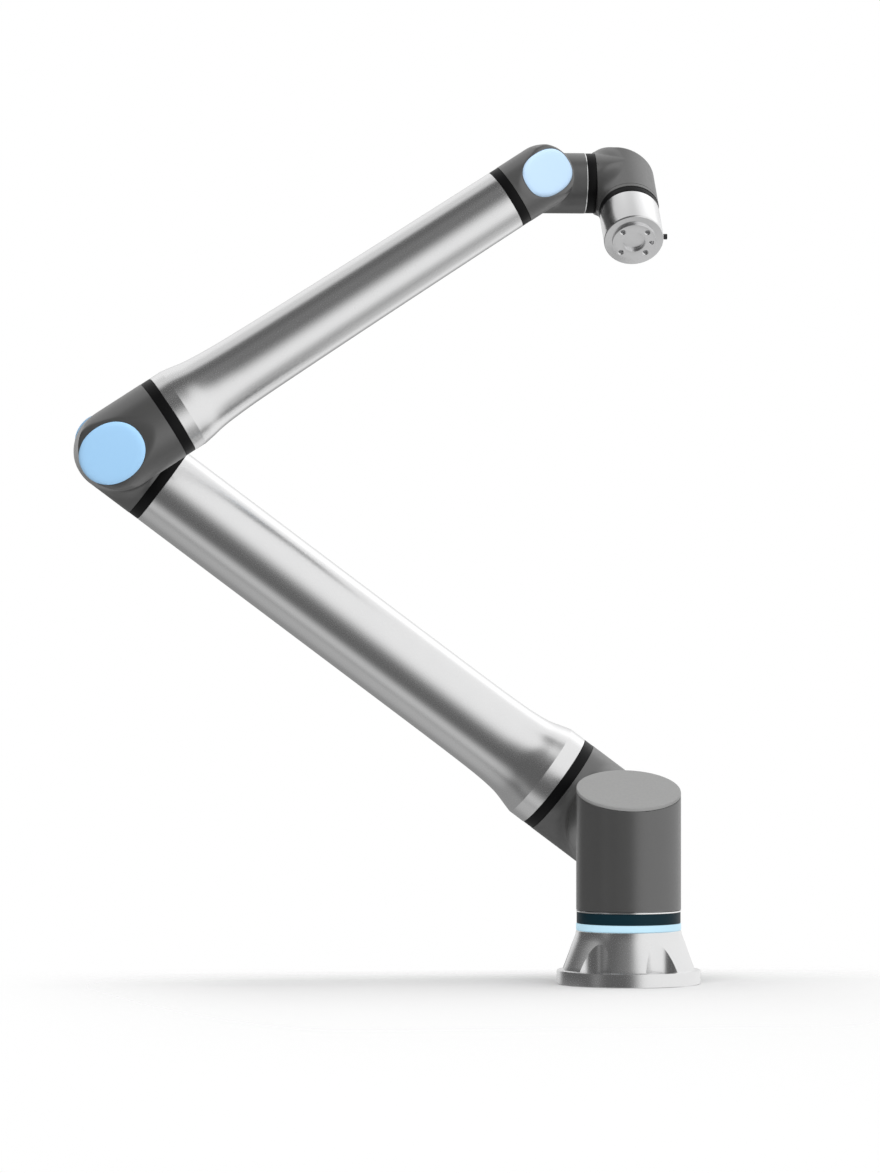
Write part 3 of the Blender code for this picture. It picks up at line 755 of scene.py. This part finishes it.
# Soft lights round the object, in degrees: bearing from the viewer's side towards +X and its half
# width, height and its half width, blur of both edges, brightness
STUDIO_LIGHTS = [
    (79, 72, 11, 54, 11, 0.84),
    (-5, 25, 43, 11, 14, 0.09),
    (180, 34, 29, 34, 8, 0.70),
    (180, 100, 62, 30, 12, 0.62),
    (180, 95, -34, 30, 12, 0.18),
    (-60, 7, 0, 30, 6, 0.15),
    (-52, 17, -46, 14, 12, 0.40),
    (0, 190, -72, 26, 10, 0.18),
    (0, 190, -84, 20, 8, 0.36),
]
STUDIO_DARK = 0.12
# Stronger than the rest, and so added after they are capped
STUDIO_EDGE = (138, 15, 40, 17, 9, 0.4)


def make_world():
    world = bpy.data.worlds.new("studio")
    world.use_nodes = True
    bpy.context.scene.world = world
    tree = world.node_tree
    tree.nodes.clear()
    split = tree.nodes.new("ShaderNodeSeparateXYZ")
    tree.links.new(tree.nodes.new("ShaderNodeTexCoord").outputs["Generated"], split.inputs[0])
    nearer = math_node(tree, "MULTIPLY", split.outputs["Y"], -1.0)
    bearing = math_node(tree, "ARCTAN2", split.outputs["X"], nearer)
    height = math_node(tree, "ARCSINE", split.outputs["Z"])

    def add_light(light, to):
        turn, wide, up, tall, soft = (radians(angle) for angle in light[:5])
        beside = window(tree, bearing, turn, wide, soft)
        lit = math_node(tree, "MULTIPLY", beside, window(tree, height, up, tall, soft))
        return math_node(tree, "ADD", math_node(tree, "MULTIPLY", lit, light[5]), to)

    total = STUDIO_DARK
    for light in STUDIO_LIGHTS:
        total = add_light(light, total)
    total = add_light(STUDIO_EDGE, math_node(tree, "MINIMUM", total, 0.97))
    studio = tree.nodes.new("ShaderNodeBackground")
    tree.links.new(total, studio.inputs["Color"])
    plain = tree.nodes.new("ShaderNodeBackground")
    plain.inputs["Color"].default_value = (1, 1, 1, 1)
    plain.inputs["Strength"].default_value = 1.0
    seen = tree.nodes.new("ShaderNodeLightPath").outputs["Is Camera Ray"]
    mix = tree.nodes.new("ShaderNodeMixShader")
    tree.links.new(seen, mix.inputs["Fac"])
    tree.links.new(studio.outputs[0], mix.inputs[1])
    tree.links.new(plain.outputs[0], mix.inputs[2])
    output = tree.nodes.new("ShaderNodeOutputWorld")
    tree.links.new(mix.outputs[0], output.inputs["Surface"])


def add_area(name, spot, target, size, power):
    data = bpy.data.lights.new(name, "AREA")
    data.shape = "RECTANGLE"
    data.size, data.size_y = size
    data.energy = power
    made = bpy.data.objects.new(name, data)
    made.location = spot
    made.rotation_euler = (Vector(target) - Vector(spot)).to_track_quat("-Z", "Y").to_euler()
    made.visible_glossy = False
    bpy.context.scene.collection.objects.link(made)


def make_floor():
    """A pale disc that melts into the white background away from the foot: a mask by position keeps it grey
    round the foot as a painted soft shadow band, over the real shadows that the lamps cast on it.
    """
    bpy.ops.mesh.primitive_circle_add(vertices=128, radius=6, fill_type="NGON", location=(0, 0, 0))
    floor = bpy.context.object
    floor.name = "studio_floor"
    shade = Shade("studio_floor")
    shade.set(Roughness=1.0)
    shade.shader.inputs["Specular IOR Level"].default_value = 0.0
    shade.tint(shade.noise(3, 2), (0.745, 0.745, 0.745), (0.765, 0.765, 0.765))
    tree = shade.tree
    split = shade.add("ShaderNodeSeparateXYZ")
    shade.link(shade.place, split.inputs[0])
    across, along = split.outputs["X"], split.outputs["Y"]
    # Painted shadow: the floor stays grey just in front of and beside the foot, fading by position into the
    # white background
    nearer = math_node(tree, "MULTIPLY", math_node(tree, "MINIMUM", along, 0.0), 1.5)
    front = math_node(tree, "EXPONENT", nearer)
    painted_shadow_band = math_node(tree, "MULTIPLY", front, ramp_node(tree, along, 0.03, 0.34, 1.0, 0.0))
    painted_shadow_band = math_node(tree, "MULTIPLY", painted_shadow_band, ramp_node(tree, across, -0.95, -0.45))
    painted_shadow_band = math_node(tree, "MULTIPLY", painted_shadow_band, ramp_node(tree, across, 0.15, 0.55, 1.0, 0.0))
    clear = shade.add("ShaderNodeBsdfTransparent")
    mix = shade.add("ShaderNodeMixShader")
    output = [node for node in tree.nodes if node.type == "OUTPUT_MATERIAL"][0]
    shade.link(painted_shadow_band, mix.inputs["Fac"])
    shade.link(clear.outputs[0], mix.inputs[1])
    shade.link(shade.shader.outputs[0], mix.inputs[2])
    shade.link(mix.outputs[0], output.inputs["Surface"])
    floor.data.materials.append(shade.material)
    floor.visible_glossy = False


def make_camera():
    """A long lens from nearly straight in front, so that the arm's rows lie almost flat to it."""
    yaw, pitch, distance = radians(5.606), radians(0.09), 7.969
    target = Vector((-0.2687, 0, 0.5629))
    ahead = Vector((sin(yaw) * cos(pitch), cos(yaw) * cos(pitch), -sin(pitch)))
    data = bpy.data.cameras.new("camera")
    data.sensor_width = 36
    data.lens = 173.0639
    data.clip_end = 100
    camera = bpy.data.objects.new("camera", data)
    camera.location = target - ahead * distance
    camera.rotation_euler = ahead.to_track_quat("-Z", "Y").to_euler()
    bpy.context.scene.collection.objects.link(camera)
    bpy.context.scene.camera = camera


make_camera()
make_world()
make_floor()
add_area("top_light", (-0.2, -0.3, 3.4), (-0.2, 0, 0), (3.2, 3.2), 55)
add_area("front_fill", (-2.2, -5.2, 1.6), (-0.3, 0, 0.6), (3.0, 3.0), 235)
make_foot()
make_shoulder()
make_housings()
make_links()
make_tool()
dress_inner_nodes()
bpy.context.scene.view_settings.view_transform = "Standard"
